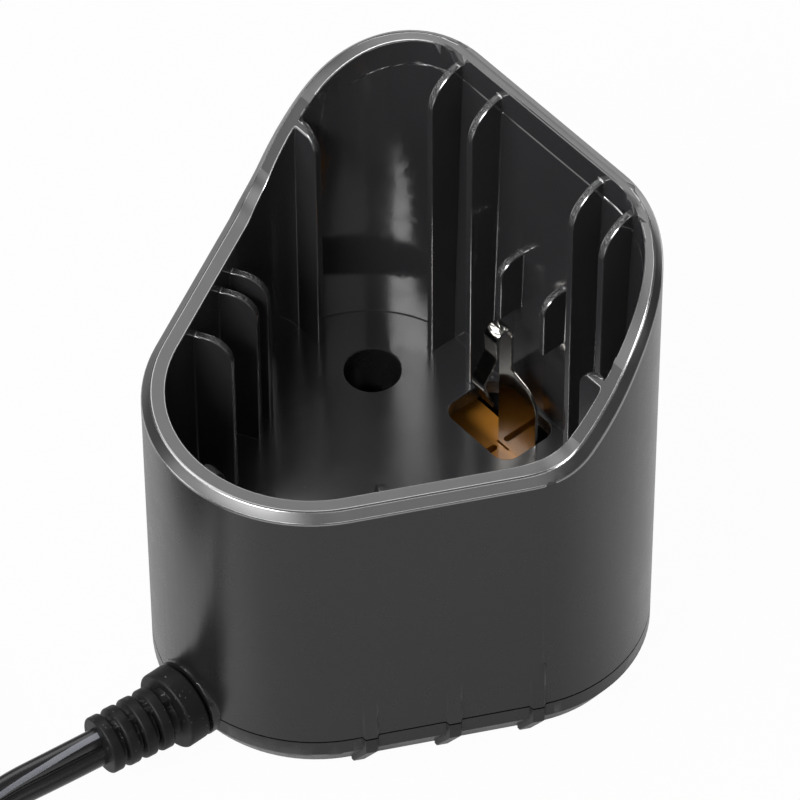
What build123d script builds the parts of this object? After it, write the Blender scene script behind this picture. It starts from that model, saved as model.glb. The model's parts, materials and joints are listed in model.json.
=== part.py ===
from build123d import *
import math
import os

# Charging cup for a three-cell battery pack, with its twin flex and plug-in supply.
# Millimetres. +Z is up, +Y runs from the nose to the heel, the origin is under the cup's middle.

# Cup outline, seen from above: a nose and two heel corners joined by flat walls
NOSE_RADIUS = 19.9
HEEL_RADIUS = 17.4
HEEL_SPACING = 25.5
CORNER_DEPTH = 19.2

# Cup heights, from the surface that it stands on; the ramp heads for a crest behind the heel
FOOT_DROP = 0.35
PARTING = 6.05
FLOOR_TOP = 19.8
LOW_RIM = 47.0
CREST = 72.3
RAMP_START = 5.5
RAMP_END = 25.3
RAMP_FOOT_RADIUS = 8.0
RAMP_HEAD_RADIUS = 37.0

# Cup walls
WALL = 2.9
SKIRT_WALL = 2.4
FLOOR_THICKNESS = 2.3
RIM_CHAMFER = 1.1
HEEL_LEAN = 1.3
LEAN_START = 1.0
LEAN_INSET = 0.1
LIP_DEPTH = 3.7
LIP_GROOVE = 0.2
LIP_LINE = 0.35
LIP_START = 19.0
SEAM_CHAMFER = 0.12

# Guide ribs inside the cup
RIB_THICKNESS = 1.0
RIB_REACH = 3.6
RIB_ROUNDING = 3.0
RIB_EMBED = 1.8
LONG_RIB_DROP = 0.9
LONG_RIB_ROUNDING = 5.2
SHORT_RIB_TOP = 44.3
LATCH_RIB_BOTTOM = 35.1
LATCH_RIB_REACH = 3.0
LATCH_RIB_ROUNDING = 2.4
HEEL_RIB_CENTRE = 1.5
HEEL_LONG_RIBS = (-15.6, -8.6, 9.2, 15.0)
HEEL_LATCH_RIBS = (-3.8, 3.9)
SIDE_RIBS = (8.5, 5.2, -2.3)
SIDE_RIB_REACH = 4.8
CORNER_RIB_Y = 12.6
CORNER_RIB_TOP = 56.1
NOSE_KEY_X = 0.8
NOSE_KEY_WIDTH = 2.0
NOSE_KEY_REACH = 2.4
NOSE_KEY_TOP = 45.5

# Outer foot ribs, low on both side walls: wide at the root, narrow at the tip
FOOT_RIB_ROOT = 2.0
FOOT_RIB_TIP = 1.4
FOOT_RIB_REACH = 0.7
FOOT_RIB_TOP = 13.8
FOOT_RIB_PITCH = 10.2
FOOT_RIB_CENTRE = 5.0
FOOT_RIB_COUNT = 3
FOOT_BACK_GAP = 0.05

# Screw wells through the floor, and the screws that hold the cover
WELL_HEEL_X = 16.1
WELL_HEEL_Y = 14.4
WELL_NOSE_Y = -12.3
WELL_BORE = 7.0
WELL_WALL = 1.4
WELL_LEDGE_TOP = 10.3
WELL_LEDGE = 1.8
COVER_SCREW_SHANK = 2.8
COVER_SCREW_HEAD = 5.6
COVER_SCREW_HEAD_HEIGHT = 2.0
COVER_SCREW_LENGTH = 6.0
SCREW_CLEARANCE = 0.4
THREAD_CLEARANCE = 0.1
SCREW_SLOT = 0.9
SCREW_SLOT_DEPTH = 1.1

# Base cover
COVER_PLATE = 1.7
COVER_BEVEL = 1.95
COVER_BEVEL_DROP = 3.4
COVER_LIP_HEIGHT = 1.6
COVER_LIP = 1.4
COVER_LIP_GAP = 0.15
COVER_BOSS = 6.4
BOSS_GAP = 0.1

# Circuit board under the floor
BOARD_TOP = 14.3
BOARD_THICKNESS = 1.6
BOARD_INSET = 4.2
BOARD_WELL_GAP = 0.5
BOARD_BOSS = 5.2
BOARD_BOSS_PLACES = ((-12.0, -1.8), (4.6, 10.8), (9.6, -14.2))
BOARD_SCREW_SHANK = 1.9
BOARD_SCREW_HEAD = 4.2
BOARD_SCREW_HEAD_HEIGHT = 1.5
BOARD_SCREW_BITE = 2.4
RELIEF_SLOT_WIDTH = 0.9
RELIEF_SLOT_LENGTH = 7.0
RELIEF_SLOT_BRIDGE = 0.5

# Contacts: a blade that stands on the board and a sprung leaf folded over its top
STRIP = 0.4
CONTACT_INSET = 6.35
LEAF_LEFT = -1.1
LEAF_WIDTH = 2.15
BLADE_WIDTH = 6.7
SHOULDER_HEIGHT = 28.9
SHOULDER_DROP = 1.6
SHOULDER_RADIUS = 3.4
NECK_RADIUS = 0.9
FOLD_HEIGHT = 35.4
FOLD_RADIUS = 1.2
LEAF_GAP = 0.35
LEAF_WAIST = 2.7
LEAF_WAIST_LEAN = 0.1
LEAF_BUMP_REACH = 2.1
LEAF_BUMP_DROP = 6.4
LEAF_TIP_REACH = 0.5
LEAF_TIP_DROP = 10.8
TAIL_WIDTH = 1.8
TAIL_LENGTH = 2.6
SLOT_GAP = 0.15
WINDOW_WIDTH = 11.6
WINDOW_DEPTH = 8.4
WINDOW_INSET = 3.35
WINDOW_RADIUS = 2.0

# Parts on the underside of the board
RESISTOR_BODY = 4.4
RESISTOR_LENGTH = 11.0
RESISTOR_PLACE = (-1.5, -2.8)
DIODE_BODY = 2.7
DIODE_LENGTH = 5.2
DIODE_PLACE = (-4.0, 5.8)
CAPACITOR_BODY = 6.3
CAPACITOR_LENGTH = 11.0
CAPACITOR_PLACE = (12.0, 3.4)
PART_LEAD = 0.7
PART_LEAD_REACH = 2.2
PART_STANDOFF = 0.25
LEAD_POKE = 0.8

# Cord outlet, centred on the parting line, and its strain relief
RELIEF_TILT = 7.0
OUTLET_RING = 10.1
OUTLET_RING_PROUD = 0.3
OUTLET_BORE = 6.6
RELIEF_GAP = 0.1
RELIEF_NECK_GAP = 0.4
RELIEF_COLLAR = 10.0
RELIEF_COLLAR_LENGTH = 2.85
RELIEF_RINGS = (7.9, 7.7, 7.5, 7.3)
RELIEF_RING_LENGTH = 1.6
RELIEF_FIRST_GROOVE = 0.95
RELIEF_GROOVE = 0.65
RELIEF_CORE = 5.4
RELIEF_EDGE = 0.35
RELIEF_WEB = 2.2
RELIEF_FLANGE = 8.4
RELIEF_FLANGE_LENGTH = 1.5
RELIEF_FLANGE_BACK = 3.45

# Twin flex: two round cores side by side, standing on edge
CORE = 2.5
CORE_SPACING = 2.3
WIRE = 1.5

# Coil of put-away flex
COIL_X = -35.0
COIL_Y = -79.0
COIL_RADIUS = 34.0
TURN_PITCH = 3.0
LAYER_PITCH = 5.3
LOWER_TURNS = 5.0
UPPER_TURNS = 4.0
STEPS_PER_TURN = 4
CLIMB = 0.5
CLIMB_ROOM = 4.5
JOIN_GAP = 0.15
TIE_WIDTH = 5.0
TIE_THICKNESS = 0.6
TIE_GAP = 0.2
TIE_SIDE_GAP = 0.6
TIE_TURN = 0.6

# Plug-in supply at the far end
CASE_WIDTH = 34.0
CASE_LENGTH = 46.0
CASE_HEIGHT = 28.0
CASE_WALL = 2.2
CASE_CORNER = 6.0
CASE_EDGE = 1.5
PIN_SPACING = 12.7
PIN_THICKNESS = 1.5
PIN_WIDTH = 6.3
PIN_REACH = 16.5
PIN_ROOT = 5.0
PIN_HEIGHT = 15.0
PIN_TIP = 0.5
PIN_GAP = 0.1
BOOT_ROOT = 9.0
BOOT_TIP = 6.6
BOOT_LENGTH = 9.0
BOOT_NECK = 6.0
BOOT_FLANGE = 8.0
BOOT_FLANGE_LENGTH = 1.4
BOOT_GAP = 0.1
STACK_WIDTH = 22.0
STACK_LENGTH = 19.0
STACK_HEIGHT = 13.0
STACK_LIMB = 4.0
STACK_MIDDLE = 6.0
STACK_SETBACK = 17.0
WINDING_GAP = 0.3
WINDING_OVERHANG = 3.4
SUPPLY_BOARD_WIDTH = 14.0
SUPPLY_BOARD_LENGTH = 9.0
SUPPLY_BOARD_SETBACK = 4.6
SUPPLY_BOARD_HEIGHT = 11.6
SUPPLY_CAN = 6.3
SUPPLY_CAN_HEIGHT = 9.0
CASE_POST = 4.0
CASE_SCREW_SHANK = 2.6
CASE_SCREW_HEAD = 4.8
CASE_SCREW_HEAD_HEIGHT = 1.6
CASE_SCREW_LENGTH = 9.0
CASE_SCREW_BOSS = 6.2
CASE_SCREW_RECESS = 2.4
CASE_SCREW_INSET = 5.4

# Places worked out from the sizes above
CUP_LENGTH = NOSE_RADIUS + CORNER_DEPTH + HEEL_RADIUS
NOSE_Y = NOSE_RADIUS - (CUP_LENGTH - OUTLET_RING_PROUD) / 2
HEEL_Y = NOSE_Y + CORNER_DEPTH
HEEL_WALL_Y = HEEL_Y + HEEL_RADIUS
FLOOR_BOTTOM = FLOOR_TOP - FLOOR_THICKNESS
BOARD_BOTTOM = BOARD_TOP - BOARD_THICKNESS
COVER_TOP = FOOT_DROP + COVER_PLATE
WELL_BOTTOM = WELL_LEDGE_TOP - WELL_LEDGE
WELL_PLACES = ((-WELL_HEEL_X, WELL_HEEL_Y), (WELL_HEEL_X, WELL_HEEL_Y), (0, WELL_NOSE_Y))
HEEL_CENTRE = Vector(HEEL_SPACING / 2, HEEL_Y)
NOSE_CENTRE = Vector(0, NOSE_Y)
CENTRES = HEEL_CENTRE - NOSE_CENTRE
SIDE_ANGLE = math.degrees(
    math.acos((NOSE_RADIUS - HEEL_RADIUS) / CENTRES.length) - math.atan2(CENTRES.Y, CENTRES.X)
)
SIDE_NORMAL = Vector(1, 0).rotate(Axis.Z, -SIDE_ANGLE)
SIDE_ALONG = Vector(0, 1).rotate(Axis.Z, -SIDE_ANGLE)
SIDE_MIDDLE = (NOSE_CENTRE + SIDE_NORMAL * NOSE_RADIUS + HEEL_CENTRE + SIDE_NORMAL * HEEL_RADIUS) / 2
SIDE_START = SIDE_MIDDLE - SIDE_ALONG * SIDE_MIDDLE.dot(SIDE_ALONG)
RAMP_ANGLE = math.atan2(CREST - LOW_RIM, RAMP_END - RAMP_START)
CREST_Y = RAMP_END + RAMP_HEAD_RADIUS * math.tan(RAMP_ANGLE / 2)
BEVEL_TOP = FOOT_DROP + COVER_BEVEL_DROP
OUTLET_WALL_Y = NOSE_Y - NOSE_RADIUS
OUTLET_FACE_Y = OUTLET_WALL_Y - OUTLET_RING_PROUD
COLLAR_Y = OUTLET_FACE_Y - RELIEF_NECK_GAP
BOOT_Y = COLLAR_Y - RELIEF_COLLAR_LENGTH
RELIEF_GROOVES = (RELIEF_FIRST_GROOVE,) + (RELIEF_GROOVE,) * (len(RELIEF_RINGS) - 1)
RELIEF_BOOT = sum(RELIEF_GROOVES) + len(RELIEF_RINGS) * RELIEF_RING_LENGTH
RELIEF_WAY = Vector(0, -1, 0).rotate(Axis.Z, -RELIEF_TILT)
RELIEF_TIP = Vector(0, BOOT_Y, PARTING) + RELIEF_WAY * RELIEF_BOOT
CORD_WIDTH = CORE_SPACING + CORE
CORD_BED = CORD_WIDTH / 2 + TIE_THICKNESS + 2 * TIE_GAP

# The flex leaves the strain relief, sinks to the floor and runs to the coil
LEAD_ROUTE = (
    tuple(RELIEF_TIP),
    tuple(RELIEF_TIP + RELIEF_WAY * 6.0),
    (-2.9, -53.8, 6.0),
    (-3.0, -60.7, 5.1),
    (-1.9, -67.5, CORD_BED + 0.35),
    (COIL_X + COIL_RADIUS, COIL_Y + CORD_WIDTH + JOIN_GAP, CORD_BED),
)

# From the coil's end to the supply, as steps from that end
TAIL_STEPS = ((0, -JOIN_GAP, 0), (0, -5.0, 0), (0, -10.0, 0.6), (0, -15.0, 0.6))


def mirror_x(point):
    return Vector(-point.X, point.Y)


def cup_outline(inset):
    """Face inside the cup's outer outline by the inset."""
    nose, heel = NOSE_RADIUS - inset, HEEL_RADIUS - inset
    nose_side = NOSE_CENTRE + SIDE_NORMAL * nose
    heel_side = HEEL_CENTRE + SIDE_NORMAL * heel
    heel_back = HEEL_CENTRE + Vector(0, heel)
    heel_corner = HEEL_CENTRE + (SIDE_NORMAL + Vector(0, 1)).normalized() * heel
    edges = [
        ThreePointArc(mirror_x(nose_side), NOSE_CENTRE - Vector(0, nose), nose_side),
        Line(nose_side, heel_side),
        ThreePointArc(heel_side, heel_corner, heel_back),
        Line(heel_back, mirror_x(heel_back)),
        ThreePointArc(mirror_x(heel_back), mirror_x(heel_corner), mirror_x(heel_side)),
        Line(mirror_x(heel_side), mirror_x(nose_side)),
    ]
    return make_face(edges)


def cup_block(inset, bottom, top):
    return extrude(Pos(0, 0, bottom) * cup_outline(inset), amount=top - bottom)


def heel_room(inset):
    """The cup's hollow, leaning back, which thins the heel's wall towards its rim."""
    start = FLOOR_TOP + LEAN_START
    rise = CREST - start
    stride = math.hypot(rise, HEEL_LEAN)
    bottom = Pos(0, 0, start) * cup_outline(inset + LEAN_INSET)
    return extrude(bottom, amount=stride, dir=(0, HEEL_LEAN / rise, 1))


def under_rim(drop):
    """All that lies below the rim's profile, lowered by the drop."""
    far = 2 * CUP_LENGTH
    low, high = LOW_RIM - drop, CREST - drop
    profile = FilletPolyline(
        (-far, low), (RAMP_START, low), (RAMP_END, high), (far, high),
        radius=[RAMP_FOOT_RADIUS, RAMP_HEAD_RADIUS],
    )
    below = Polyline((far, high), (far, -high), (-far, -high), (-far, low))
    return extrude(Plane.YZ * make_face([profile, below]), amount=far, both=True)


def on_side(side, along, inset):
    """Place on a side wall: X out of the wall, Y along it, from the nose; side is 1 or -1."""
    spot = SIDE_START + SIDE_ALONG * along - SIDE_NORMAL * inset
    if side > 0:
        return Pos(spot.X, spot.Y) * Rot(0, 0, -SIDE_ANGLE)
    return Pos(-spot.X, spot.Y) * Rot(0, 0, 180 + SIDE_ANGLE)


def upright(diameter, bottom, top, place=(0, 0)):
    return Pos(place[0], place[1], bottom) * extrude(Circle(diameter / 2), amount=top - bottom)


def rib(place, heading, bottom, top, reach=RIB_REACH, thickness=RIB_THICKNESS, rounding=0.0):
    """Rib that stands out of a wall along the heading, in degrees, with a rounded upper corner."""
    height = top - bottom
    profile = Pos((reach - RIB_EMBED) / 2, bottom + height / 2) * Rectangle(reach + RIB_EMBED, height)
    if rounding:
        corner = profile.vertices().sort_by(lambda v: v.X + v.Y)[-1]
        profile = fillet(corner, rounding)
    plate = extrude(Plane.XZ * profile, amount=thickness / 2, both=True)
    return Pos(place[0], place[1]) * Rot(0, 0, heading) * plate


def heel_wall_y(x):
    """Inner face of the heel, which curves away past the flat."""
    over = max(abs(x) - HEEL_SPACING / 2, 0)
    return HEEL_Y + math.sqrt((HEEL_RADIUS - WALL) ** 2 - over**2)


def head_height(y):
    """Height of the rim on the ramp's rounded head."""
    return CREST - RAMP_HEAD_RADIUS + math.sqrt(RAMP_HEAD_RADIUS**2 - (CREST_Y - y) ** 2)


def guide_ribs():
    """Ribs that steer the pack: long and short ones on the heel, short ones on the sides and nose."""
    ribs = []
    for x in HEEL_LONG_RIBS:
        x = HEEL_RIB_CENTRE + x
        y = heel_wall_y(x)
        top = head_height(y) - LONG_RIB_DROP
        ribs.append(rib((x, y), -90, FLOOR_TOP, top, rounding=LONG_RIB_ROUNDING))
    for x in HEEL_LATCH_RIBS:
        x = HEEL_RIB_CENTRE + x
        place, heights = (x, heel_wall_y(x)), (LATCH_RIB_BOTTOM, SHORT_RIB_TOP)
        ribs.append(rib(place, -90, *heights, LATCH_RIB_REACH, rounding=LATCH_RIB_ROUNDING))
    corner_x = HEEL_SPACING / 2 + math.sqrt((HEEL_RADIUS - WALL) ** 2 - (CORNER_RIB_Y - HEEL_Y) ** 2)
    for side in (-1, 1):
        for along in SIDE_RIBS:
            if side > 0 and abs(along - SIDE_MIDDLE.dot(SIDE_ALONG)) < WINDOW_WIDTH / 2:
                continue
            bare = rib((0, 0), 180, FLOOR_TOP, SHORT_RIB_TOP, SIDE_RIB_REACH, rounding=RIB_ROUNDING)
            ribs.append(on_side(side, along, WALL) * bare)
        heading = 90 + 90 * side
        corner = (side * corner_x, CORNER_RIB_Y)
        ribs.append(rib(corner, heading, FLOOR_TOP, CORNER_RIB_TOP, rounding=RIB_ROUNDING))
    nose = (NOSE_KEY_X, OUTLET_WALL_Y + WALL)
    crown = NOSE_KEY_REACH * 0.8
    ribs.append(rib(nose, 90, FLOOR_TOP, NOSE_KEY_TOP, NOSE_KEY_REACH, NOSE_KEY_WIDTH, rounding=crown))
    return [one & under_rim(0) for one in ribs]


def foot_rib_section(height):
    """Section of a foot rib at a height: X out of the wall, with its root inside it."""
    reach = FOOT_RIB_REACH * (FOOT_RIB_TOP - height) / (FOOT_RIB_TOP - BEVEL_TOP)
    root, tip = FOOT_RIB_ROOT / 2, FOOT_RIB_TIP / 2
    inside = -SKIRT_WALL / 2
    corners = ((inside, -root), (0, -root), (reach, -tip), (reach, tip), (0, root), (inside, root))
    return Pos(0, 0, height) * make_face(Polyline(*corners, close=True))


def foot_rib_places():
    """Places of the foot ribs on both walls, as pairs of the side and the place."""
    steps = [index - (FOOT_RIB_COUNT - 1) / 2 for index in range(FOOT_RIB_COUNT)]
    return [
        (side, on_side(side, FOOT_RIB_CENTRE + step * FOOT_RIB_PITCH, 0))
        for side in (-1, 1)
        for step in steps
    ]


def foot_ribs(bottom, top):
    """Ribs low on the outer walls, between two heights, that fade out upwards."""
    wedge = loft([foot_rib_section(bottom), foot_rib_section(top)], ruled=True)
    return [place * wedge for _, place in foot_rib_places()]


def feet():
    """The foot ribs' lower ends, which run down over the cover's bevel to the table."""
    inward = COVER_BEVEL / COVER_BEVEL_DROP / SIDE_NORMAL.X
    stride = BEVEL_TOP * math.hypot(1, inward)
    return [
        extrude(place * foot_rib_section(BEVEL_TOP), amount=stride, dir=(-side * inward, 0, -1))
        for side, place in foot_rib_places()
    ]


def contact_places():
    """Where the contacts stand: at the middle of the heel and of the right side, X along the wall."""
    heel = Pos(0, HEEL_WALL_Y)
    side = Pos(SIDE_MIDDLE.X, SIDE_MIDDLE.Y) * Rot(0, 0, -90 - SIDE_ANGLE)
    return {"heel": heel, "side": side}


def window():
    """Opening in the floor that a contact comes up through, measured from the outer wall."""
    middle = Pos(0, -WINDOW_INSET - WINDOW_DEPTH / 2)
    return middle * RectangleRounded(WINDOW_WIDTH, WINDOW_DEPTH, WINDOW_RADIUS)


def along_outlet(diameter, start, end):
    """Round bar along the cord outlet, between two places on Y."""
    bar = extrude(Circle(diameter / 2), amount=start - end)
    return Pos(0, start, PARTING) * Rot(90, 0, 0) * bar


def outlet_ring():
    return along_outlet(OUTLET_RING, OUTLET_WALL_Y + SKIRT_WALL, OUTLET_FACE_Y)


def outlet_bore():
    return along_outlet(OUTLET_BORE, OUTLET_WALL_Y + 2 * SKIRT_WALL, OUTLET_FACE_Y)


def above(height):
    far = 4 * CUP_LENGTH
    return Pos(0, 0, height) * Box(far, far, far, align=(Align.CENTER, Align.CENTER, Align.MIN))


def heel_end():
    """All that lies behind the place where the line below the rim starts."""
    far = 4 * CUP_LENGTH
    return Pos(0, LIP_START) * Box(far, far, far, align=(Align.CENTER, Align.MIN, Align.CENTER))


def cup_housing():
    cup = cup_block(0, PARTING, CREST) & under_rim(0)
    walls = cup.faces().filter_by(lambda f: abs(f.normal_at().Z) < 0.01)
    tops = cup.faces().filter_by(lambda f: f.normal_at().Z > 0.1)
    wall_edges = walls.edges()
    cup = chamfer([e for e in tops.edges() if e in wall_edges], RIM_CHAMFER)
    base_edges = cup.faces().sort_by(Axis.Z)[0].outer_wire().edges()
    cup = chamfer(base_edges, SEAM_CHAMFER)
    cup -= cup_block(WALL, FLOOR_TOP, CREST)
    cup -= heel_room(WALL)
    line = heel_room(WALL - LIP_GROOVE) & heel_end() & under_rim(LIP_DEPTH)
    cup -= line - under_rim(LIP_DEPTH + LIP_LINE)
    cup -= cup_block(SKIRT_WALL, PARTING, FLOOR_BOTTOM)
    cup += outlet_ring() & above(PARTING)
    cup += guide_ribs()
    cup += foot_ribs(PARTING + SEAM_CHAMFER, FOOT_RIB_TOP)
    well = WELL_BORE + 2 * WELL_WALL
    cup += [upright(well, WELL_BOTTOM, FLOOR_BOTTOM, place) for place in WELL_PLACES]
    cup += [upright(BOARD_BOSS, BOARD_TOP, FLOOR_BOTTOM, place) for place in BOARD_BOSS_PLACES]
    for place in WELL_PLACES:
        cup -= upright(WELL_BORE, WELL_LEDGE_TOP, FLOOR_TOP, place)
        cup -= upright(COVER_SCREW_SHANK + SCREW_CLEARANCE, WELL_BOTTOM, WELL_LEDGE_TOP, place)
    for place in BOARD_BOSS_PLACES:
        cup -= upright(BOARD_SCREW_SHANK + THREAD_CLEARANCE, BOARD_TOP, FLOOR_BOTTOM, place)
    for place in contact_places().values():
        cup -= place * Pos(0, 0, FLOOR_BOTTOM) * extrude(window(), amount=FLOOR_THICKNESS)
    return cup - outlet_bore()


def base_cover():
    cover = cup_block(0, FOOT_DROP, PARTING)
    underside = cover.faces().sort_by(Axis.Z)[0]
    cover = chamfer(underside.outer_wire().edges(), COVER_BEVEL, COVER_BEVEL_DROP, reference=underside)
    cover = chamfer(cover.faces().sort_by(Axis.Z)[-1].outer_wire().edges(), SEAM_CHAMFER)
    lip = SKIRT_WALL + COVER_LIP_GAP
    cover += cup_block(lip, PARTING, PARTING + COVER_LIP_HEIGHT)
    cover -= cup_block(lip + COVER_LIP, COVER_TOP, PARTING + COVER_LIP_HEIGHT)
    cover += outlet_ring() - above(PARTING)
    cover += foot_ribs(BEVEL_TOP, PARTING - SEAM_CHAMFER)
    footprint = cup_block(COVER_BEVEL - FOOT_BACK_GAP, 0, FOOT_DROP)
    cover += [foot - footprint for foot in feet()]
    cover += [upright(COVER_BOSS, FOOT_DROP, WELL_BOTTOM - BOSS_GAP, place) for place in WELL_PLACES]
    for place in WELL_PLACES:
        cover -= upright(COVER_SCREW_SHANK + THREAD_CLEARANCE, COVER_TOP, WELL_BOTTOM, place)
    corner = (Align.CENTER, Align.MIN, Align.MIN)
    room = Box(RELIEF_FLANGE + 2 * COVER_LIP_GAP, NOSE_RADIUS / 2, OUTLET_BORE, align=corner)
    room = Pos(0, OUTLET_WALL_Y + SKIRT_WALL, COVER_TOP) * room
    return cover - outlet_bore() - room


def screw(shank, head, head_height, length):
    """Pan-head screw with a straight slot, head up, its seat at the origin."""
    body = upright(shank, -length, 0) + upright(head, 0, head_height)
    crown = body.faces().sort_by(Axis.Z)[-1].edges()
    body = fillet(crown, head_height * 0.45)
    slot = Box(head, SCREW_SLOT, SCREW_SLOT_DEPTH, align=(Align.CENTER, Align.CENTER, Align.MAX))
    return body - Pos(0, 0, head_height) * slot


def cover_screws():
    one = screw(COVER_SCREW_SHANK, COVER_SCREW_HEAD, COVER_SCREW_HEAD_HEIGHT, COVER_SCREW_LENGTH)
    turns = (25, -40, 10)
    return [Pos(x, y, WELL_LEDGE_TOP) * Rot(0, 0, t) * one for (x, y), t in zip(WELL_PLACES, turns)]


def board_screws():
    length = BOARD_THICKNESS + BOARD_SCREW_BITE
    one = screw(BOARD_SCREW_SHANK, BOARD_SCREW_HEAD, BOARD_SCREW_HEAD_HEIGHT, length)
    return [Pos(x, y, BOARD_BOTTOM) * Rot(180, 0, 0) * one for x, y in BOARD_BOSS_PLACES]


def blade_slots():
    """Slots in the board for a contact's solder tails, measured from the outer wall."""
    left, right = LEAF_LEFT, LEAF_LEFT + BLADE_WIDTH - TAIL_WIDTH
    return [(x + TAIL_WIDTH / 2, -CONTACT_INSET - STRIP / 2) for x in (left, right)]


def circuit_board():
    board = cup_block(BOARD_INSET, BOARD_BOTTOM, BOARD_TOP)
    well = WELL_BORE + 2 * WELL_WALL + 2 * BOARD_WELL_GAP
    for place in WELL_PLACES:
        board -= upright(well, BOARD_BOTTOM, BOARD_TOP, place)
    for place in BOARD_BOSS_PLACES:
        board -= upright(BOARD_SCREW_SHANK + SCREW_CLEARANCE, BOARD_BOTTOM, BOARD_TOP, place)
    for place in contact_places().values():
        for x, y in blade_slots():
            slot = Pos(x, y) * Rectangle(TAIL_WIDTH + 2 * SLOT_GAP, STRIP + 2 * SLOT_GAP)
            board -= place * Pos(0, 0, BOARD_BOTTOM) * extrude(slot, amount=BOARD_THICKNESS)
    x = LEAF_LEFT + RELIEF_SLOT_WIDTH / 2
    y = -CONTACT_INSET - STRIP - RELIEF_SLOT_LENGTH / 2 - SLOT_GAP - RELIEF_SLOT_BRIDGE
    relief = Pos(x, y) * SlotOverall(RELIEF_SLOT_LENGTH, RELIEF_SLOT_WIDTH, rotation=90)
    board -= contact_places()["heel"] * Pos(0, 0, BOARD_BOTTOM) * extrude(relief, amount=BOARD_THICKNESS)
    return board


def contact_blade():
    """Bottle-shaped blade with two solder tails, in the wall's own frame."""
    left, neck, right = LEAF_LEFT, LEAF_LEFT + LEAF_WIDTH, LEAF_LEFT + BLADE_WIDTH
    shoulder = SHOULDER_HEIGHT - SHOULDER_DROP
    top = FOLD_HEIGHT - LEAF_GAP
    outline = make_face(Polyline(
        (left, BOARD_TOP), (right, BOARD_TOP), (right, shoulder),
        (neck, SHOULDER_HEIGHT), (neck, top), (left, top),
        close=True,
    ))
    outline = fillet(outline.vertices().group_by(Axis.Y)[-2], NECK_RADIUS)
    outline = fillet(outline.vertices().sort_by_distance((right, shoulder))[0], SHOULDER_RADIUS)
    blade = extrude(Plane.XZ * outline, amount=STRIP)
    for x, _ in blade_slots():
        tail = Box(TAIL_WIDTH, STRIP, TAIL_LENGTH, align=(Align.CENTER, Align.MAX, Align.MAX))
        blade += Pos(x, 0, BOARD_TOP) * tail
    return Pos(0, -CONTACT_INSET) * blade


def contact_leaf():
    """Sprung leaf: rolls over the blade's top, falls, bulges towards the pack and curls in at its tip."""
    back = -STRIP / 2
    front = back - 2 * FOLD_RADIUS
    waist = FOLD_HEIGHT - LEAF_WAIST
    crown = ((back + front) / 2, FOLD_HEIGHT + FOLD_RADIUS)
    roll = ThreePointArc((back, FOLD_HEIGHT), crown, (front, FOLD_HEIGHT))
    fall = FilletPolyline(
        (front, FOLD_HEIGHT),
        (front + LEAF_WAIST_LEAN, waist),
        (front - LEAF_BUMP_REACH, FOLD_HEIGHT - LEAF_BUMP_DROP),
        (front - LEAF_TIP_REACH, FOLD_HEIGHT - LEAF_TIP_DROP),
        radius=[1.2, 1.6],
    )
    profile = make_face(offset(Wire(roll.edges() + fall.edges()), STRIP / 2).edges())
    leaf = extrude(Plane.YZ * profile, amount=LEAF_WIDTH)
    return Pos(LEAF_LEFT, -CONTACT_INSET) * leaf


def axial_part(body, length, along_x, place):
    """Part with a barrel and two bent leads, hung under the board."""
    drop = BOARD_BOTTOM - PART_STANDOFF - body / 2
    barrel = Rot(0, 90, 0) * extrude(Circle(body / 2), amount=length / 2, both=True)
    barrel = fillet(barrel.edges().filter_by(GeomType.CIRCLE), body * 0.12)
    reach = length / 2 + PART_LEAD_REACH
    for side in (-1, 1):
        route = FilletPolyline(
            (side * (length / 2 - body * 0.1), 0, 0),
            (side * reach, 0, 0),
            (side * reach, 0, BOARD_BOTTOM - drop),
            radius=PART_LEAD,
        )
        start = Plane(route @ 0, z_dir=route % 0)
        barrel += sweep(start * Circle(PART_LEAD / 2), path=route)
    turn = 0 if along_x else 90
    return Pos(place[0], place[1], drop) * Rot(0, 0, turn) * barrel


def capacitor():
    """Can on its side, with both leads out of one end and up into the board."""
    drop = BOARD_BOTTOM - PART_STANDOFF - CAPACITOR_BODY / 2
    can = Rot(0, 90, 0) * extrude(Circle(CAPACITOR_BODY / 2), amount=CAPACITOR_LENGTH / 2, both=True)
    can = fillet(can.edges().filter_by(GeomType.CIRCLE), 0.5)
    reach = -CAPACITOR_LENGTH / 2 - PART_LEAD_REACH
    for y in (-CORE_SPACING / 2, CORE_SPACING / 2):
        route = FilletPolyline(
            (-CAPACITOR_LENGTH / 2 + 0.4, y, 0), (reach, y, 0), (reach, y, BOARD_BOTTOM - drop),
            radius=PART_LEAD,
        )
        start = Plane(route @ 0, z_dir=route % 0)
        can += sweep(start * Circle(PART_LEAD / 2), path=route)
    return Pos(CAPACITOR_PLACE[0], CAPACITOR_PLACE[1], drop) * Rot(0, 0, 90) * can


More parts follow.
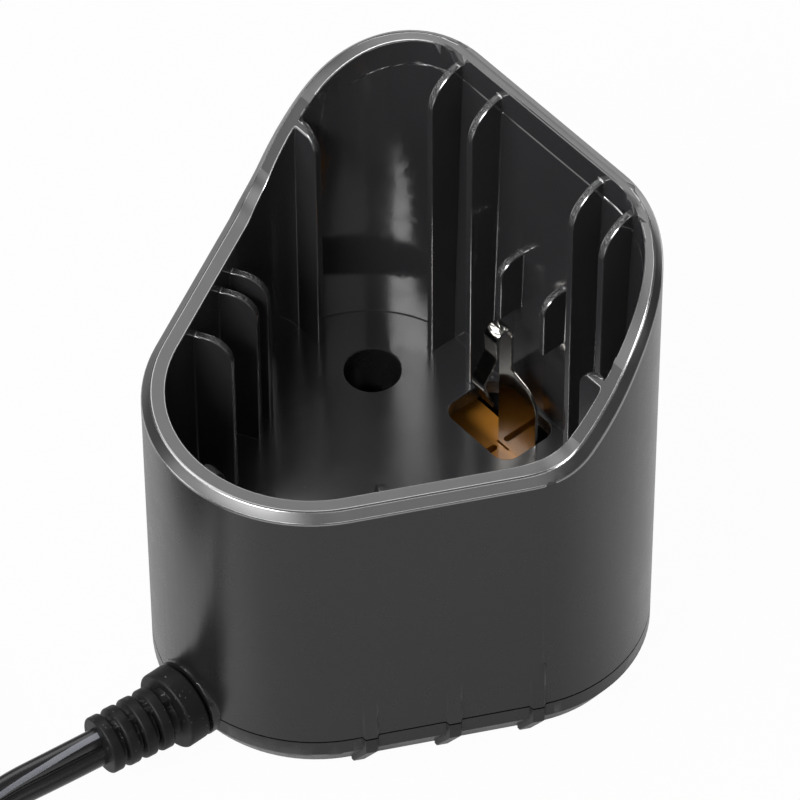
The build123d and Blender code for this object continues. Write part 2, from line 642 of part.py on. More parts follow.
def strain_relief():
    """Moulded grommet: inner flange, neck in the wall, then a collar and rings that lean with the flex."""
    inner = OUTLET_WALL_Y + RELIEF_FLANGE_BACK
    neck = OUTLET_BORE - 2 * RELIEF_GAP
    relief = along_outlet(RELIEF_FLANGE, inner + RELIEF_FLANGE_LENGTH, inner)
    relief &= Pos(0, inner, PARTING) * Box(RELIEF_FLANGE, NOSE_RADIUS, neck)
    relief += along_outlet(neck, inner, COLLAR_Y)
    collar = along_outlet(RELIEF_COLLAR, COLLAR_Y, BOOT_Y)
    relief += fillet(collar.edges().filter_by(GeomType.CIRCLE), RELIEF_EDGE)
    boot = along_outlet(RELIEF_CORE, BOOT_Y + RELIEF_COLLAR_LENGTH / 2, BOOT_Y - RELIEF_BOOT)
    start = BOOT_Y
    for diameter, groove in zip(RELIEF_RINGS, RELIEF_GROOVES):
        web = along_outlet(diameter - RELIEF_EDGE, start + 2 * RELIEF_EDGE, start - groove - 2 * RELIEF_EDGE)
        boot += web & Pos(0, start, PARTING) * Box(RELIEF_WEB, RELIEF_BOOT, diameter)
        start -= groove
        ring = along_outlet(diameter, start, start - RELIEF_RING_LENGTH)
        boot += fillet(ring.edges().filter_by(GeomType.CIRCLE), RELIEF_EDGE)
        start -= RELIEF_RING_LENGTH
    hinge = Axis((0, BOOT_Y, 0), (0, 0, 1))
    return relief + boot.rotate(hinge, -RELIEF_TILT)


def twin_section():
    """Cross-section of the flex, on edge."""
    return Pos(0, CORE_SPACING / 2) * Circle(CORE / 2) + Pos(0, -CORE_SPACING / 2) * Circle(CORE / 2)


def flex_along(path):
    """Sweep the flex along a path, always on edge."""
    heading = path % 0
    across = Vector(0, 0, 1).cross(heading).normalized()
    plane = Plane(path @ 0, x_dir=across, z_dir=heading)
    guide = Wire(path.edges()).moved(Pos(0, 0, CORD_WIDTH))
    return sweep(plane * twin_section(), path=path, binormal=guide)


def route_radii(points):
    """Largest corner radii that the runs of a route allow."""
    radii = []
    for before, here, after in zip(points, points[1:], points[2:]):
        first, second = Vector(*here) - Vector(*before), Vector(*after) - Vector(*here)
        half_turn = math.radians(first.get_angle(second)) / 2
        radii.append(0.45 * min(first.length, second.length) / math.tan(half_turn))
    return radii


def biarc(start, start_way, end, end_way):
    """Two tangent arcs between two points with given headings."""
    gap = end - start
    ways = start_way + end_way
    a = 2 * (start_way.dot(end_way) - 1)
    b = -2 * gap.dot(ways)
    c = gap.dot(gap)
    reach = (-b - math.sqrt(b * b - 4 * a * c)) / (2 * a)
    first, second = start + start_way * reach, end - end_way * reach
    join = (first + second) / 2
    return [TangentArc(start, join, tangent=start_way), TangentArc(end, join, tangent=end_way * -1)]


def smooth_step(part):
    part = min(max(part, 0), 1)
    return part * part * (3 - 2 * part)


def coil_radius(turn):
    """Distance from the coil's middle: in, past the climb, and out again."""
    top = LOWER_TURNS + CLIMB
    radius = COIL_RADIUS - min(turn, top) * TURN_PITCH
    if turn > top:
        radius += CLIMB_ROOM * smooth_step((turn - top) / CLIMB)
        radius += max(turn - top - CLIMB, 0) * TURN_PITCH
    return radius


def coil_point(turn):
    """Centre of the flex at a number of turns into the coil, clockwise from above."""
    radius, angle = coil_radius(turn), -2 * math.pi * turn
    height = CORD_BED + LAYER_PITCH * smooth_step((turn - LOWER_TURNS) / CLIMB)
    return Vector(COIL_X + radius * math.cos(angle), COIL_Y + radius * math.sin(angle), height)


def coil_heading(turn):
    step = 1e-4
    return (coil_point(turn + step) - coil_point(turn - step)).normalized()


def coil_path():
    """Spiral in, climb, move out past the climb and spiral out, with a straight end at each side."""
    total = LOWER_TURNS + 2 * CLIMB + UPPER_TURNS
    count = round(total * STEPS_PER_TURN)
    turns = [index / STEPS_PER_TURN for index in range(count + 1)]
    ways = [coil_heading(t) for t in turns]
    ways[0] = ways[-1] = Vector(0, -1, 0)
    points = [coil_point(t) for t in turns]
    edges = [Line(points[0] - ways[0] * CORD_WIDTH, points[0])]
    for index in range(count):
        edges += biarc(points[index], ways[index], points[index + 1], ways[index + 1])
    edges.append(Line(points[-1], points[-1] + ways[-1] * CORD_WIDTH))
    return Wire(edges)


def coil_end():
    total = LOWER_TURNS + 2 * CLIMB + UPPER_TURNS
    return coil_point(total) - Vector(0, CORD_WIDTH, 0)


def self_gap(wire):
    """Least gap between turns, measured on points along the coil."""
    count = 900
    points = [wire @ (i / count) for i in range(count + 1)]
    apart = round(count * 60 / wire.length)
    least = 1e9
    for i, a in enumerate(points):
        for b in points[i + apart :]:
            flat = math.hypot(a.X - b.X, a.Y - b.Y) - CORE
            tall = abs(a.Z - b.Z) - CORD_WIDTH
            least = min(least, max(flat, tall))
    return least


def coil_tie():
    """Flat band round the coil's bundle of turns."""
    last = LOWER_TURNS + 2 * CLIMB + UPPER_TURNS - 1
    room = CORE / 2 + TIE_SIDE_GAP
    inner = coil_radius(LOWER_TURNS + TIE_TURN) - room
    outer = max(coil_radius(TIE_TURN), coil_radius(last + TIE_TURN)) + room
    bottom = CORD_BED - CORD_WIDTH / 2 - TIE_GAP
    top = CORD_BED + LAYER_PITCH + CORD_WIDTH / 2 + TIE_GAP
    size = (outer - inner, top - bottom)
    hole = RectangleRounded(*size, CORE / 2)
    outside = [side + 2 * TIE_THICKNESS for side in size]
    band = RectangleRounded(*outside, CORE / 2 + TIE_THICKNESS)
    loop = extrude(Plane.XZ * (band - hole), amount=TIE_WIDTH / 2, both=True)
    middle = Pos((inner + outer) / 2, 0, (bottom + top) / 2)
    return Pos(COIL_X, COIL_Y) * Rot(0, 0, -360 * TIE_TURN) * middle * loop


def inner_wire(side):
    """Insulated conductor from the strain relief to its pad under the board."""
    start = OUTLET_WALL_Y + RELIEF_FLANGE_BACK + RELIEF_FLANGE_LENGTH + JOIN_GAP
    pad = (side * 7.5, start + 5.0)
    route = FilletPolyline(
        (side * CORE_SPACING / 2, start, PARTING),
        (side * 1.6, start + 2.6, PARTING),
        (pad[0], pad[1], PARTING + 0.4),
        (pad[0], pad[1], BOARD_BOTTOM),
        radius=[2.4, 1.6],
    )
    return sweep(Plane(route @ 0, z_dir=route % 0) * Circle(WIRE / 2), path=route)


def tail_route():
    end = coil_end()
    return [end + Vector(*step) for step in TAIL_STEPS]


def supply_place():
    """The supply lies flat: X across, Y towards the flex, Z up, origin under the end of the flex."""
    end = tail_route()[-1]
    return Pos(end.X, end.Y - JOIN_GAP, 0)


def split_height():
    """Height of the flex's outlet, where the supply's case parts."""
    return tail_route()[-1].Z


def case_back_y():
    return -BOOT_LENGTH


def case_block(inset, bottom, top):
    """Rounded block inside the supply's case by the inset."""
    size = (CASE_WIDTH - 2 * inset, CASE_LENGTH - 2 * inset)
    middle = Pos(0, case_back_y() - CASE_LENGTH / 2, bottom)
    return middle * extrude(RectangleRounded(*size, CASE_CORNER - inset), amount=top - bottom)


def case_screw_places():
    middle = case_back_y() - CASE_LENGTH / 2
    x, y = CASE_WIDTH / 2 - CASE_SCREW_INSET, CASE_LENGTH / 2 - CASE_SCREW_INSET
    return ((-x, middle + y), (x, middle - y))


def boot_bar(diameter, start, end):
    bar = extrude(Circle(diameter / 2), amount=start - end)
    return Pos(0, start, split_height()) * Rot(90, 0, 0) * bar


def pin_places():
    return [Pos(side * PIN_SPACING / 2, case_back_y() - CASE_LENGTH, PIN_HEIGHT) for side in (-1, 1)]


def pin_slots():
    slot = Box(PIN_THICKNESS + 2 * PIN_GAP, 4 * CASE_WALL, PIN_WIDTH + 2 * PIN_GAP)
    return [place * slot for place in pin_places()]


def stack_middle():
    return Vector(0, case_back_y() - STACK_SETBACK - STACK_LENGTH / 2, CASE_HEIGHT / 2)


def posts(places, top):
    return [upright(CASE_POST, CASE_WALL / 2, top, place) for place in places]


def stack_feet():
    middle = stack_middle()
    x = (STACK_WIDTH - STACK_LIMB) / 2
    y = (STACK_LENGTH - STACK_LIMB) / 2
    return [(middle.X + i * x, middle.Y + j * y) for i in (-1, 1) for j in (-1, 1)]


def board_feet():
    y = case_back_y() - SUPPLY_BOARD_SETBACK - SUPPLY_BOARD_LENGTH / 2
    return [(i * (SUPPLY_BOARD_WIDTH / 2 - CASE_POST / 2), y) for i in (-1, 1)]


def supply_base():
    """Lower shell of the supply, with posts for the transformer and its board."""
    split = split_height()
    shell = case_block(0, 0, split)
    shell = chamfer(shell.faces().sort_by(Axis.Z)[0].outer_wire().edges(), CASE_EDGE)
    shell -= case_block(CASE_WALL, CASE_WALL, split)
    shell += posts(stack_feet(), stack_middle().Z - STACK_HEIGHT / 2)
    shell += posts(board_feet(), SUPPLY_BOARD_HEIGHT)
    for place in case_screw_places():
        shell += upright(CASE_SCREW_BOSS, CASE_WALL / 2, split, place)
        shell -= upright(CASE_SCREW_SHANK + SCREW_CLEARANCE, 0, split, place)
        shell -= upright(CASE_SCREW_HEAD + SCREW_CLEARANCE, 0, CASE_SCREW_RECESS, place)
    back = case_back_y()
    return shell - boot_bar(BOOT_NECK + 2 * BOOT_GAP, back + CASE_WALL, back - 2 * CASE_WALL)


def supply_lid():
    """Upper shell of the supply, with the slots for its pins."""
    split = split_height()
    shell = case_block(0, split, CASE_HEIGHT)
    shell = fillet(shell.faces().sort_by(Axis.Z)[-1].outer_wire().edges(), CASE_EDGE)
    shell -= case_block(CASE_WALL, split, CASE_HEIGHT - CASE_WALL)
    for place in case_screw_places():
        shell += upright(CASE_SCREW_BOSS, split, CASE_HEIGHT - CASE_WALL / 2, place)
        shell -= upright(CASE_SCREW_SHANK + THREAD_CLEARANCE, split, split + CASE_SCREW_LENGTH, place)
    back = case_back_y()
    shell -= boot_bar(BOOT_NECK + 2 * BOOT_GAP, back + CASE_WALL, back - 2 * CASE_WALL)
    return shell - pin_slots()


def supply_pins():
    """Two flat pins with bevelled tips, through the end of the case."""
    size = (PIN_THICKNESS, PIN_REACH + CASE_WALL + PIN_ROOT, PIN_WIDTH)
    pin = Pos(0, CASE_WALL + PIN_ROOT) * Box(*size, align=(Align.CENTER, Align.MAX, Align.CENTER))
    pin = chamfer(pin.faces().sort_by(Axis.Y)[0].edges(), PIN_TIP)
    stop = Pos(0, CASE_WALL + PIN_GAP) * Box(
        3 * PIN_THICKNESS, PIN_THICKNESS, PIN_WIDTH, align=(Align.CENTER, Align.MIN, Align.CENTER)
    )
    return [place * (pin + stop) for place in pin_places()]


def supply_boot():
    """Tapered boot on the flex, held in the case by its inner flange."""
    back = case_back_y()
    cone = Solid.make_cone(BOOT_TIP / 2, BOOT_ROOT / 2, BOOT_LENGTH - BOOT_GAP)
    boot = Part() + Pos(0, 0, split_height()) * Rot(90, 0, 0) * cone
    boot += boot_bar(BOOT_NECK, back + 2 * BOOT_GAP, back - CASE_WALL - 2 * BOOT_GAP)
    inner = back - CASE_WALL - BOOT_GAP
    return boot + boot_bar(BOOT_FLANGE, inner, inner - BOOT_FLANGE_LENGTH)


def stack_window(gap):
    """The two windows of the transformer's core, as faces."""
    width = (STACK_WIDTH - 2 * STACK_LIMB - STACK_MIDDLE) / 2
    length = STACK_LENGTH - 2 * STACK_LIMB
    offset_x = (STACK_MIDDLE + width) / 2
    return [Pos(i * offset_x, 0) * Rectangle(width - 2 * gap, length - 2 * gap) for i in (-1, 1)]


def supply_core():
    """Stack of E and I laminations."""
    face = Rectangle(STACK_WIDTH, STACK_LENGTH) - stack_window(0)
    middle = stack_middle()
    return Pos(middle.X, middle.Y, middle.Z) * extrude(face, amount=STACK_HEIGHT / 2, both=True)


def supply_winding():
    """Windings round the core's middle limb."""
    width = (STACK_WIDTH - 2 * STACK_LIMB - STACK_MIDDLE) / 2 - WINDING_GAP
    length = STACK_LENGTH - 2 * STACK_LIMB - 2 * WINDING_GAP
    height = STACK_HEIGHT + 2 * WINDING_OVERHANG
    round_off = WINDING_OVERHANG * 0.6
    outside = RectangleRounded(STACK_MIDDLE + 2 * width, height, round_off)
    inside = Rectangle(STACK_MIDDLE + 2 * WINDING_GAP, STACK_HEIGHT + 2 * WINDING_GAP)
    ring = extrude(Plane.XZ * (outside - inside), amount=length / 2, both=True)
    middle = stack_middle()
    return Pos(middle.X, middle.Y, middle.Z) * ring


def supply_board():
    x, y = 0, board_feet()[0][1]
    size = (SUPPLY_BOARD_WIDTH, SUPPLY_BOARD_LENGTH, BOARD_THICKNESS)
    return Pos(x, y, SUPPLY_BOARD_HEIGHT) * Box(*size, align=(Align.CENTER, Align.CENTER, Align.MIN))


def supply_capacitor():
    bottom = SUPPLY_BOARD_HEIGHT + BOARD_THICKNESS
    can = upright(SUPPLY_CAN, bottom, bottom + SUPPLY_CAN_HEIGHT, (0, board_feet()[0][1]))
    return fillet(can.faces().sort_by(Axis.Z)[-1].edges(), 0.5)


def supply_screws():
    one = screw(CASE_SCREW_SHANK, CASE_SCREW_HEAD, CASE_SCREW_HEAD_HEIGHT, CASE_SCREW_LENGTH)
    return [Pos(x, y, CASE_SCREW_RECESS) * Rot(180, 0, 0) * one for x, y in case_screw_places()]


def check_cords(lead, coil, tail, coil_wire):
    """Print the bends of the free flex, its length and how far its turns lie apart."""
    section = twin_section().area
    print("lead radii", [round(r, 1) for r in route_radii(LEAD_ROUTE)])
    print("tail radii", [round(r, 1) for r in route_radii([tuple(p) for p in tail_route()])])
    for name, solid, length in lead, tail, coil:
        due = round(section * length, 1)
        print(name, "length", round(length, 1), "volume", round(solid.volume, 1), "of", due)
    print("coil gap", round(self_gap(coil_wire), 3))


def write(name, solids):
    shape = solids if not isinstance(solids, (list, tuple)) else Compound(children=list(solids))
    shape.label = name
    export_step(shape, os.path.join("parts", name + ".step"))


def main():
    os.makedirs("parts", exist_ok=True)
    lead_path = FilletPolyline(*LEAD_ROUTE, radius=route_radii(LEAD_ROUTE))
    tail_points = [tuple(p) for p in tail_route()]
    tail_path = FilletPolyline(*tail_points, radius=route_radii(tail_points))
    coil_wire = coil_path()
    lead, tail, coil = flex_along(lead_path), flex_along(tail_path), flex_along(coil_wire)
    check_cords(
        ("lead", lead, lead_path.length), ("coil", coil, coil_wire.length),
        ("tail", tail, tail_path.length), coil_wire
    )
    nodes = {
        "cup_housing": cup_housing(),
        "base_cover": base_cover(),
        "cover_screws": cover_screws(),
        "circuit_board": circuit_board(),
        "board_screws": board_screws(),
        "charge_resistor": axial_part(RESISTOR_BODY, RESISTOR_LENGTH, True, RESISTOR_PLACE),
        "blocking_diode": axial_part(DIODE_BODY, DIODE_LENGTH, True, DIODE_PLACE),
        "smoothing_capacitor": capacitor(),
        "strain_relief": strain_relief(),
        "positive_wire": inner_wire(-1),
        "negative_wire": inner_wire(1),
        "cord_lead": lead,
        "cord_coil": coil,
        "cord_tail": tail,
        "cord_tie": coil_tie(),
    }
    for name, place in contact_places().items():
        nodes[name + "_contact_blade"] = place * contact_blade()
        nodes[name + "_contact_leaf"] = place * contact_leaf()
    supply = {
        "supply_base": supply_base(),
        "supply_lid": supply_lid(),
        "supply_pins": supply_pins(),
        "supply_boot": supply_boot(),
        "supply_core": supply_core(),
        "supply_winding": supply_winding(),
        "supply_board": supply_board(),
        "supply_capacitor": supply_capacitor(),
        "supply_screws": supply_screws(),
    }
    for name, solids in supply.items():
        if isinstance(solids, list):
            nodes[name] = [supply_place() * one for one in solids]
        else:
            nodes[name] = supply_place() * solids
    for name, solids in nodes.items():
        write(name, solids)


main()
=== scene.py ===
import json
import math

import bpy
from mathutils import Matrix, Vector

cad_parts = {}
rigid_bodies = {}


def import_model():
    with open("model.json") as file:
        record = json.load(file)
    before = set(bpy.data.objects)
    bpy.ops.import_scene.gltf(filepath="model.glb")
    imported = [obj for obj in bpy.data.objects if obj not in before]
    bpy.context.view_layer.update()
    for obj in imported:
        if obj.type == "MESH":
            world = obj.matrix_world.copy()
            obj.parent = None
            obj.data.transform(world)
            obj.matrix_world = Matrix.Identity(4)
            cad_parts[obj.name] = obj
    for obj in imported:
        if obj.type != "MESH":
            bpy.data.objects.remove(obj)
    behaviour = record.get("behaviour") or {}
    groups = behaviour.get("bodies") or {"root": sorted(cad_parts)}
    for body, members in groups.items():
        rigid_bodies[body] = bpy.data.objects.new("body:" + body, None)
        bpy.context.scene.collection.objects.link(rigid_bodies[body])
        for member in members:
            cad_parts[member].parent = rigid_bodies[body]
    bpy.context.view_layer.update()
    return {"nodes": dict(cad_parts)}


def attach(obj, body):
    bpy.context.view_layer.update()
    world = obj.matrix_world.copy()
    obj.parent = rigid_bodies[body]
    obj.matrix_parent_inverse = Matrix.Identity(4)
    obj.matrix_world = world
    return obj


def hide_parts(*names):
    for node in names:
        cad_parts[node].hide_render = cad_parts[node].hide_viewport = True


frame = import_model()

MM = 0.001
BODY = "charger"

# Camera, as fitted to the photograph's outline and rim, in millimetres and photograph pixels
PHOTO_SIZE = 800
FOCAL_PIXELS = 6581.0
AIM_ROW = 560.0
AIM_POINT = Vector((-1.678, 6.4, 3.1))
AIM_DISTANCE = 802.6
CAMERA_HEIGHT_ANGLE = math.radians(50.103)
CAMERA_SIDE_ANGLE = math.radians(40.224)
CAMERA_ROLL = math.radians(0.335)
SENSOR_WIDTH = 36.0
NEAREST_SEEN = 0.01
FARTHEST_SEEN = 50.0

# Cup outline and heights, in millimetres, as in the part's source
NOSE_RADIUS = 19.9
HEEL_RADIUS = 17.4
HEEL_SPACING = 25.5
CORNER_DEPTH = 19.2
NOSE_Y = -8.2
PARTING = 6.05
FLOOR_TOP = 19.8
LOW_RIM = 47.0
WALL = 2.9

# Rounding of edges, in millimetres; EDGE_ROOM is how many roundings wide the faces beside an edge must be
WELD = 0.002
FLAT_ENOUGH = math.radians(0.6)
SHARP = math.radians(30)
IN_LINE = math.radians(120)
EDGE_SEGMENTS = 2
EDGE_ROOM = 2.2
TRIM_ROUNDS = 3
CUP_EDGE = 0.18
COVER_EDGE = 0.1
RELIEF_EDGE = 0.15
CONTACT_EDGE = 0.06
CASE_EDGE = 0.25
CUP_EDGES_FROM = PARTING + 1.0
HEEL_TRIM_FROM = 25.5

# The cup's finishes, and where they change: heights, depths inside the outline, and how far a face looks up
OUTSIDE, INSIDE, RIM_TOP, RIB_END, EDGE, SEAM = range(6)
COVER_SEAM = 1
SEAM_ROOM = 0.3
# Painted edge highlights start a little above the inside floor
EDGE_HIGHLIGHT_FROM = FLOOR_TOP + 1.0
RIM_FROM = LOW_RIM - 2.0
RIM_LEAST_DEPTH = 0.02
RIM_MOST_DEPTH = WALL + 0.3
RIB_ENDS_FROM = FLOOR_TOP + 2.0
RIB_ENDS_DEPTH = WALL - 0.8
INSIDE_FROM = FLOOR_TOP - 0.3
INSIDE_DEPTH = WALL - 1.3
LOOKS_UP = 0.2
RIB_END_LOOKS_UP = 0.15
SCUFFED_TO = FLOOR_TOP + 0.2

# Flex, in millimetres, as in the part's source
CORE = 2.5
CORE_SPACING = 2.3
FLEX_WIDTH = CORE + CORE_SPACING
FLEX_BED = FLEX_WIDTH / 2 + 1.0
COIL_CENTRE = (-35.0, -79.0)
COIL_RADIUS = 34.0
TURN_PITCH = 3.0
LAYER_PITCH = 5.3
LOWER_TURNS = 5.0
UPPER_TURNS = 4.0
CLIMB = 0.5
CLIMB_ROOM = 4.5
EXIT_TILT = math.radians(30)
EXIT_TILT_LENGTH = 40.0

# Flex's mesh and the stripe printed on it
POINTS_PER_TURN = 16
STEPS_PER_POINT = 6
CORE_STEPS = 24
WEB_REACH = 8.0
FLEX_SMOOTH = math.radians(50)
STRIPE_MIDDLE = math.radians(35)
STRIPE_HALF = math.radians(18)
STRIPE_DRIFT = math.radians(32)
STRIPE_DRIFT_LENGTH = 14.0
STRIPE_CRISPNESS = 25.0
STRIPE_WEAR = 0.06

# Floor: its size in metres, its tone, its white to the camera, and what mirrors see of it.
# Mirrors see more white ahead of the nose and beyond the heel, fading in over some millimetres: painted
# pools of light on the floor that only reflections show.
FLOOR_SIZE = 8.0
FLOOR_TONE = 0.42
FLOOR_SEEN = 0.97
FLOOR_MIRRORED = 0.2
AHEAD_WHITE = 0.75
AHEAD_FROM = -18.0
AHEAD_FADE = 22.0
AHEAD_SIDE = 16.0
AHEAD_SIDE_FADE = 14.0
BEYOND_WHITE = 0.5
BEYOND_FROM = 5.0
BEYOND_FADE = 25.0

# Lamps: direction from the cup, distance, width and height in metres, and brightness to look at
WORLD_LIGHT = 0.15
LAMPS_AIM = Vector((0, 0, 0.03))
SOFTBOXES = {
    "back_box": ((-0.50, 0.30, 0.81), 0.7, 0.44, 0.44, 2.2),
    "top_box": ((-0.48, -0.36, 0.79), 0.7, 0.36, 0.36, 3.2),
    "left_box": ((-0.49, -0.81, 0.29), 0.9, 0.30, 0.46, 3.0),
    "front_box": ((0.13, -0.78, 0.60), 0.9, 0.84, 0.24, 6.0),
    "right_box": ((0.75, -0.23, 0.62), 0.9, 0.45, 0.45, 1.8),
    "key_box": ((0.085, -0.657, 0.749), 0.9, 0.44, 0.11, 34.0),
    "far_box": ((-0.05, 0.97, 0.22), 0.9, 1.30, 0.38, 3.0),
}


# Shader maths

class Signal:
    """A shader socket that can be used in sums."""

    def __init__(self, finish, socket):
        self.finish, self.socket = finish, socket

    def maths(self, operation, first, second=0.0, clamp=False):
        settings = {"operation": operation, "use_clamp": clamp}
        return self.finish.node("ShaderNodeMath", settings, {0: first, 1: second})

    def __add__(self, other):
        return self.maths("ADD", self, other)

    def __radd__(self, other):
        return self.maths("ADD", other, self)

    def __sub__(self, other):
        return self.maths("SUBTRACT", self, other)

    def __rsub__(self, other):
        return self.maths("SUBTRACT", other, self)

    def __mul__(self, other):
        return self.maths("MULTIPLY", self, other)

    def __rmul__(self, other):
        return self.maths("MULTIPLY", other, self)

    def __truediv__(self, other):
        return self.maths("DIVIDE", self, other)

    def __rtruediv__(self, other):
        return self.maths("DIVIDE", other, self)

    def __lt__(self, other):
        return self.maths("LESS_THAN", self, other)

    def __gt__(self, other):
        return self.maths("GREATER_THAN", self, other)

    def __abs__(self):
        return self.maths("ABSOLUTE", self)

    def clamped(self):
        return self.maths("ADD", self, 0.0, clamp=True)


class Finish:
    """A material with its shader, and the nodes that feed it."""

    def __init__(self, name, **fixed):
        self.material = bpy.data.materials.new(name)
        self.material.use_nodes = True
        self.tree = self.material.node_tree
        self.tree.nodes.clear()
        self.shader = self.tree.nodes.new("ShaderNodeBsdfPrincipled")
        self.output = self.tree.nodes.new("ShaderNodeOutputMaterial")
        self.tree.links.new(self.shader.outputs[0], self.output.inputs["Surface"])
        for socket, value in fixed.items():
            self.feed(socket.replace("_", " "), value)

    def node(self, kind, settings=None, inputs=None, output=0):
        """Any node: its settings first, then the values or links of its sockets."""
        made = self.tree.nodes.new(kind)
        for key, value in (settings or {}).items():
            if key == "stops":
                self.set_stops(made.color_ramp, value)
            else:
                setattr(made, key, value)
        for key, value in (inputs or {}).items():
            self.fill(made.inputs[key], value)
        return Signal(self, made.outputs[output])

    def set_stops(self, ramp, stops):
        while len(ramp.elements) < len(stops):
            ramp.elements.new(1.0)
        for element, (place, level) in zip(ramp.elements, stops):
            element.position = place
            element.color = grey(level)

    def fill(self, socket, value):
        if isinstance(value, Signal):
            self.tree.links.new(value.socket, socket)
        else:
            socket.default_value = value

    def feed(self, socket, value):
        self.fill(self.shader.inputs[socket], value)

    def place(self, stretch=(1, 1, 1)):
        """Object coordinates in millimetres, times the stretch."""
        spot = self.node("ShaderNodeTexCoord", output="Object")
        scale = tuple(part / MM for part in stretch)
        return self.node("ShaderNodeMapping", None, {"Vector": spot, "Scale": scale})

    def along(self, axis):
        """One of the object coordinates, in millimetres."""
        return self.node("ShaderNodeSeparateXYZ", None, {0: self.place()}, output="XYZ".index(axis))

    def noise(self, cells, detail=3.0, rough=0.5, stretch=(1, 1, 1)):
        """Noise of so many cells to the millimetre."""
        inputs = {"Vector": self.place(stretch), "Scale": cells, "Detail": detail, "Roughness": rough}
        return self.node("ShaderNodeTexNoise", None, inputs)

    def specks(self, cells, start, full):
        """Small spots where fine noise rises from the start to the full level."""
        fine = self.noise(cells, 2.0, 0.5)
        return self.node("ShaderNodeValToRGB", {"stops": ((start, 0.0), (full, 1.0))}, {0: fine})

    def mix(self, factor, first, second):
        inputs = {"Factor": factor, 6: first, 7: second}
        return self.node("ShaderNodeMix", {"data_type": "RGBA"}, inputs, output=2)

    def bump(self, height, strength, depth):
        """Bumps on the surface, with their depth in millimetres."""
        inputs = {"Height": height, "Strength": strength, "Distance": depth * MM}
        self.feed("Normal", self.node("ShaderNodeBump", None, inputs))


def grey(level, blue=None):
    """A grey, with its own level of blue where one is given."""
    return (level, level, level if blue is None else blue, 1)


# Finishes

def moulded_black(name, rough, spread, grain, depth, tone=0.012, gloss=0.5):
    """Black moulded plastic: faint cloudy tone, uneven polish and a fine skin."""
    look = Finish(name, IOR=1.5, Specular_IOR_Level=gloss)
    dark, pale = grey(tone * 0.8, tone * 0.82), grey(tone * 1.25, tone * 1.3)
    look.feed("Base Color", look.mix(look.noise(0.06, 4.0, 0.55), dark, pale))
    look.feed("Roughness", rough + spread * (look.noise(0.35, 5.0, 0.6) - 0.5))
    look.bump(look.noise(grain, 3.0, 0.6), strength=0.25, depth=depth)
    return look.material


def polished_inside():
    """The cup's polished inside: black painted lighter than the outside's as painted light, fine dust, and
    scuffs on the floor.
    """
    look = Finish("polished_inside", IOR=1.5, Specular_IOR_Level=1.0)
    # The black plastic is real, but it is set about twice as light as the outside's, which is painted light
    # inside the cup.
    plastic = look.mix(look.noise(0.08, 4.0, 0.5), grey(0.019, 0.0203), grey(0.027, 0.0288))
    dust = look.specks(2.2, start=0.76, full=0.80)
    look.feed("Base Color", look.mix(dust * 0.6, plastic, grey(0.12, 0.125)))
    bottom = look.along("Z") < SCUFFED_TO
    scuffs = bottom * (0.02 + 0.14 * look.noise(0.22, 5.0, 0.65))
    look.feed("Roughness", 0.08 + 0.05 * look.noise(0.3, 5.0, 0.6) + scuffs)
    look.bump(look.noise(0.9, 2.0, 0.5), strength=0.10, depth=0.01)
    return look.material


def painted_edge_highlights():
    """Edges painted a lighter black with raised reflectance: painted highlights along them."""
    look = Finish("painted_edge_highlights", IOR=2.2, Specular_IOR_Level=1.0)
    highlight_patches = look.noise(0.7, 4.0, 0.6)
    look.feed("Base Color", look.mix(highlight_patches, grey(0.015, 0.016), grey(0.040, 0.042)))
    look.feed("Roughness", 0.12 + 0.16 * highlight_patches)
    return look.material


def sparked_ends():
    """Rib ends with the coarse skin of a sparked mould, which glitters."""
    look = Finish("sparked_ends", IOR=1.5, Specular_IOR_Level=1.0)
    grains = look.noise(3.6, 2.0, 0.6)
    look.feed("Base Color", look.mix(grains, grey(0.010, 0.011), grey(0.024, 0.026)))
    look.feed("Roughness", 0.10 + 0.12 * look.noise(1.1))
    look.bump(grains, strength=1.0, depth=0.3)
    return look.material


def painted_seam_shade():
    """Matte near-black on the seam's chamfers: painted shade of the deep groove between cup and cover."""
    look = Finish("painted_seam_shade", Specular_IOR_Level=0.0)
    look.feed("Base Color", look.mix(look.noise(0.8), grey(0.003), grey(0.007)))
    look.feed("Roughness", 0.8 + 0.2 * look.noise(1.5))
    return look.material


def bright_nickel():
    """Nickel plate, drawn along the strip and a little tarnished."""
    look = Finish("bright_nickel", Metallic=1.0)
    tarnish = look.noise(0.5, 4.0, 0.6)
    look.feed("Base Color", look.mix(tarnish, (0.82, 0.79, 0.74, 1), (0.72, 0.69, 0.64, 1)))
    drawn = look.noise(0.8, 3.0, 0.6, stretch=(6, 6, 0.4))
    look.feed("Roughness", 0.05 + 0.08 * drawn)
    look.bump(drawn, strength=0.06, depth=0.01)
    return look.material


def amber_board():
    """Bare resin board under a thin varnish."""
    look = Finish("amber_board", IOR=1.55, Coat_Weight=0.4, Coat_Roughness=0.12)
    weave = look.noise(0.5, 5.0, 0.6)
    look.feed("Base Color", look.mix(weave, (0.32, 0.125, 0.014, 1), (0.46, 0.195, 0.028, 1)))
    look.feed("Roughness", 0.28 + 0.12 * look.noise(1.4))
    return look.material


def soft_black():
    """Soft black rubber with dust on it."""
    look = Finish("soft_black", IOR=1.5, Specular_IOR_Level=0.22)
    rubber = look.mix(look.noise(0.3, 4.0), grey(0.004), grey(0.008))
    dust = look.specks(2.4, start=0.68, full=0.74)
    look.feed("Base Color", look.mix(dust, rubber, grey(0.10)))
    look.feed("Roughness", 0.5 + 0.12 * (look.noise(0.7, 4.0) - 0.5))
    look.bump(look.noise(4.0, 3.0), strength=0.25, depth=0.02)
    return look.material


